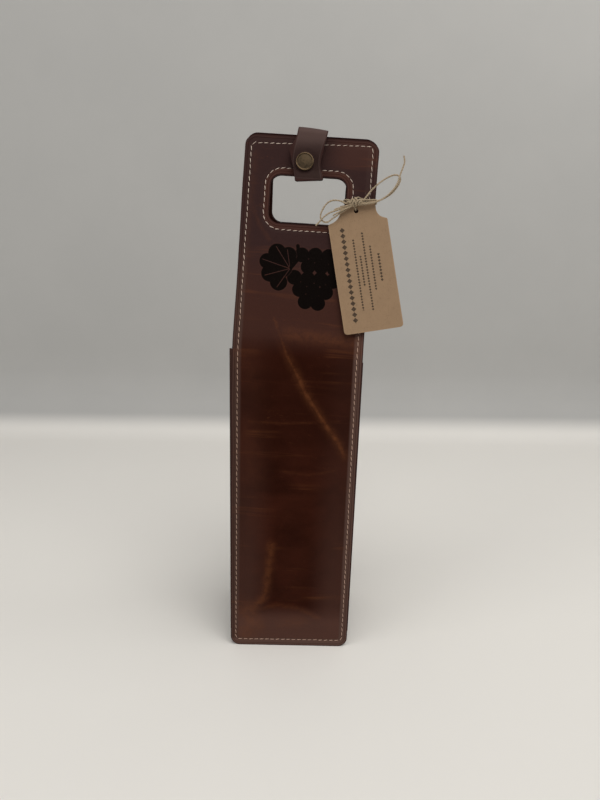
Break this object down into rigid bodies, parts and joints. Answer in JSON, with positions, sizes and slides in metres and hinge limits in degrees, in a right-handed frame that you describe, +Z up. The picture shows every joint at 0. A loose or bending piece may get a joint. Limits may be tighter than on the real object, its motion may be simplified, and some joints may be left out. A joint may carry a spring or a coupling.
{
  "type": "bottle carrier",
  "caption": "Tall leather carrier for one bottle, with two handle flaps that lean together and a strap that snaps over them.",
  "frame": {"origin": "middle of the footprint, on the surface that the carrier stands on", "axes": "+Z up, front with the snap and the tag towards -Y, +X to the right seen from the front"},
  "size_m": [0.134, 0.0868, 0.4122],
  "materials": {
    "leather": "waxed pull-up leather",
    "lining": "matt flesh side and cut edges",
    "strap": "soft worn leather",
    "thread": "waxed linen thread",
    "brass": "antique",
    "card": "matt kraft card",
    "jute": "twisted natural fibre"
  },
  "bodies": {
    "root": {"pocket_front": "leather", "pocket_back": "leather", "back_flap": "leather", "back_lining": "lining", "gusset": "lining", "front_pocket_seam": "thread", "back_pocket_seam": "thread", "back_flap_seam": "thread", "back_handle_seam": "thread", "strap_base": "strap", "strap_rivets": "brass"},
    "front_flap": {"front_flap": "leather", "front_lining": "lining", "front_flap_seam": "thread", "front_handle_seam": "thread", "snap_stud": "brass", "snap_post": "brass", "twine_tie": "jute", "twine_knot": "jute", "twine_loop_left": "jute", "twine_loop_right": "jute", "twine_tail_left": "jute", "twine_tail_right": "jute"},
    "strap_bridge": {"strap_bridge": "strap"},
    "strap_tongue": {"strap_tongue": "strap", "snap_cap": "brass", "snap_socket": "brass"},
    "tag": {"hang_tag": "card"}
  },
  "joints": [
    {"name": "strap_open", "type": "hinge", "parent": "root", "child": "strap_bridge", "pos_m": [0.01413, 0.00491, 0.41055], "axis": [-0.9981, 0, 0.061], "range_deg": [0, 150]},
    {"name": "strap_end_open", "type": "hinge", "parent": "strap_bridge", "child": "strap_tongue", "pos_m": [0.01413, -0.00861, 0.41055], "axis": [-0.9981, 0, 0.061], "range_deg": [0, 75]},
    {"name": "front_flap_open", "type": "hinge", "parent": "root", "child": "front_flap", "pos_m": [0.00687, -0.042, 0.246], "axis": [0.9981, 0, -0.061], "range_deg": [0, 13.5]},
    {"name": "tag_swing", "type": "hinge", "parent": "front_flap", "child": "tag", "pos_m": [0.04977, -0.01938, 0.35272], "axis": [0.0143, -0.9723, 0.2331], "range_deg": [-30, 30]}
  ],
  "couplings": [
    {"joint": "strap_end_open", "follows": "strap_open", "ratio": 0.5},
    {"joint": "front_flap_open", "follows": "strap_open", "ratio": 0.09}
  ]
}
